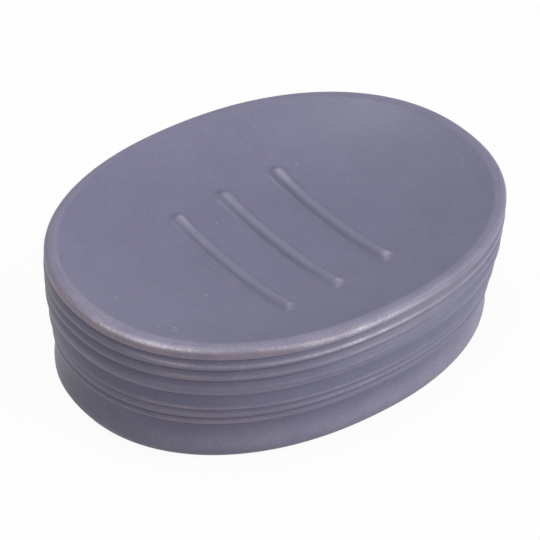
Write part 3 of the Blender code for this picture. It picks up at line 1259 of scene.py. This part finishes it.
    def dress(self, piece: Thing, glaze: MattGlaze, bare: BareStoneware) -> None:
        """Glaze the body and leave its foot ring dry.

        Args:
            piece: The body.
            glaze: The glaze over it.
            bare: The body's own surface under the foot.
        """
        piece.data.materials.append(glaze.material())
        piece.data.materials.append(bare.material())
        limit = self.foot_z + self.dry_above
        facing_down = -0.9
        for face in piece.data.polygons:
            highest = max(piece.data.vertices[corner].co.z for corner in face.vertices)
            if highest < limit and face.normal.z < facing_down:
                face.material_index = 1
        edge = (self.foot_inset + self.foot_edge_radius) / MM
        log.info("foot ring is dry from %.1f mm inside the widest plan", edge)


@dataclass
class FootPad:
    """One soft pad under the foot ring."""

    corner: Corner
    radius: float = 4.0 * MM
    edge: float = 0.25 * MM
    sides: int = 48
    edge_steps: int = 4
    flat_share: float = 0.55

    @property
    def node(self) -> str:
        """Return the name of the pad's solid."""
        return self.corner.value

    def build(self) -> Thing:
        """Build the pad, a turned disc with eased edges.

        Returns:
            The pad, linked to the scene.
        """
        low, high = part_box(self.node)
        plan = OvalPlan(sides=self.sides)
        flat, upper = self.radius * self.flat_share, self.edge / 2
        rings = [plan.circle(flat, low.z)]
        for turn in quarter_turns(self.edge_steps):
            reach = self.radius - self.edge * (1.0 - math.sin(turn))
            rings.append(plan.circle(reach, low.z + self.edge * (1.0 - math.cos(turn))))
        for turn in quarter_turns(self.edge_steps):
            reach = self.radius - upper * (1.0 - math.cos(turn))
            rings.append(plan.circle(reach, high.z - upper * (1.0 - math.sin(turn))))
        rings.append(plan.circle(flat, high.z))
        points = np.concatenate([[[0.0, 0.0, low.z]], *rings, [[0.0, 0.0, high.z]]])
        points[:, :2] += np.array((low + high).xy) / 2
        return lofted(self.node + "_silicone", points, self.sides, upward=True)

    def dress(self, piece: Thing, silicone: bpy.types.Material) -> None:
        """Give the pad its silicone."""
        piece.data.materials.append(silicone)


def towards(azimuth: float, elevation: float) -> Vector:
    """Return the direction at an azimuth from the front and an elevation, in degrees.

    Args:
        azimuth: The turn from the dish's front towards its right.
        elevation: The height above the level.

    Returns:
        A vector of length 1.
    """
    round_z, height = math.radians(azimuth), math.radians(elevation)
    level = math.cos(height)
    return Vector((level * math.sin(round_z), -level * math.cos(round_z), math.sin(height)))


@dataclass
class PhotographCamera:
    """The camera, at the photograph's viewing angle and distance."""

    elevation: float = 38.75
    azimuth: float = -39.89
    roll: float = 3.25
    distance: float = 898.1 * MM
    aim: tuple[float, float, float] = (-1.43 * MM, 3.42 * MM, 16.06 * MM)
    focal_pixels: float = 3400.0
    frame_pixels: float = 540.0
    sensor: float = 36.0
    sees_from: float = 0.01
    sees_to: float = 20.0

    def build(self) -> Thing:
        """Build the camera and make it the scene's.

        Returns:
            The camera.
        """
        tilt = math.radians(self.roll)
        ahead = -towards(self.azimuth, self.elevation)
        right = ahead.cross(Vector((0.0, 0.0, 1.0))).normalized()
        up = right.cross(ahead)
        turned_right = math.cos(tilt) * right + math.sin(tilt) * up
        turned_up = math.cos(tilt) * up - math.sin(tilt) * right
        aside, lift, level = self.aim
        pose = Matrix((turned_right, turned_up, -ahead)).transposed().to_4x4()
        pose.translation = right * aside + up * lift + Vector((0.0, 0.0, level)) - ahead * self.distance
        lens = bpy.data.cameras.new("photograph_camera")
        lens.sensor_width = self.sensor
        lens.lens = self.focal_pixels / self.frame_pixels * self.sensor
        lens.clip_start = self.sees_from
        lens.clip_end = self.sees_to
        made = placed("photograph_camera", lens)
        made.matrix_world = pose
        bpy.context.scene.camera = made
        return made


@dataclass
class Softbox:
    """One square soft light that looks at the dish."""

    name: str
    azimuth: float
    elevation: float
    distance: float
    side: float
    level: float
    tint: str = "#ffffff"

    def build(self) -> Thing:
        """Build the light, at a level where 1 lights a facing surface as its colour is written.

        Returns:
            The light, linked to the scene.
        """
        direction = towards(self.azimuth, self.elevation)
        lamp = bpy.data.lights.new(self.name, "AREA")
        lamp.shape = "SQUARE"
        lamp.size = self.side
        lamp.energy = self.level * (math.pi * self.distance) ** 2
        lamp.color = linear(self.tint)[:3]
        made = placed(self.name, lamp)
        made.location = direction * self.distance
        made.rotation_euler = direction.to_track_quat("Z", "Y").to_euler()
        return made


@dataclass
class Studio:
    """The plain pale studio: white paper, soft lights and an even surround.

    The paper lies just under the pads, whose undersides would otherwise share its level.
    """

    paper: StudioPaper = field(default_factory=StudioPaper)
    paper_side: float = 6.0
    paper_top: float = -0.02 * MM
    surround: float = 0.03
    lights: tuple[Softbox, ...] = (
        Softbox("front_softbox", 42.0, 58.0, 1.2, 0.60, 0.18),
        Softbox("top_softbox", -150.0, 83.0, 1.2, 0.50, 0.35),
        Softbox("right_softbox", 38.0, 18.0, 1.2, 0.80, 0.57),
        Softbox("left_softbox", -76.0, 42.0, 1.2, 0.35, 0.12),
        Softbox("back_softbox", 190.0, 53.0, 1.2, 0.45, 0.09),
    )

    def build(self) -> Thing:
        """Build the paper, the lights and the surround.

        Returns:
            The paper.
        """
        half = self.paper_side / 2
        top = self.paper_top
        corners = [(-half, -half, top), (half, -half, top), (half, half, top), (-half, half, top)]
        mesh = bpy.data.meshes.new("paper")
        mesh.from_pydata(corners, [], [(0, 1, 2, 3)])
        mesh.materials.append(self.paper.material())
        floor = placed("paper", mesh)
        for light in self.lights:
            light.build()
        self._surround()
        bpy.context.scene.view_settings.view_transform = "Standard"
        return floor

    def _surround(self) -> None:
        """Light the dish evenly from all round, with a background that looks white."""
        world = bpy.data.worlds.new("studio")
        world.use_nodes = True
        tree = world.node_tree
        tree.nodes.clear()
        levels = {"Value": background_share(tree), "To Min": self.surround, "To Max": 1.0}
        level = add(tree, "MapRange", levels).outputs["Result"]
        sky = add(tree, "Background", {"Color": linear(self.paper.white), "Strength": level})
        add(tree, "OutputWorld", {"Surface": sky.outputs[0]})
        bpy.context.scene.world = world


def main() -> None:
    """Build the dish, its pads and the studio, and report each piece."""
    logging.basicConfig(level=logging.INFO, format="%(message)s")
    body = DishBody()
    piece = body.build()
    body.dress(piece, MattGlaze(), BareStoneware())
    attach(piece, "root")
    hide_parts("dish_body")
    log.info("%s: %d faces", piece.name, len(piece.data.polygons))
    silicone = MouldedSilicone().material()
    for corner in Corner:
        pad = FootPad(corner)
        disc = pad.build()
        pad.dress(disc, silicone)
        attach(disc, "root")
        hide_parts(pad.node)
        log.info("%s: %d faces", disc.name, len(disc.data.polygons))
    Studio().build()
    PhotographCamera().build()
    log.info("studio and camera are in place")


if __name__ == "__main__":
    main()
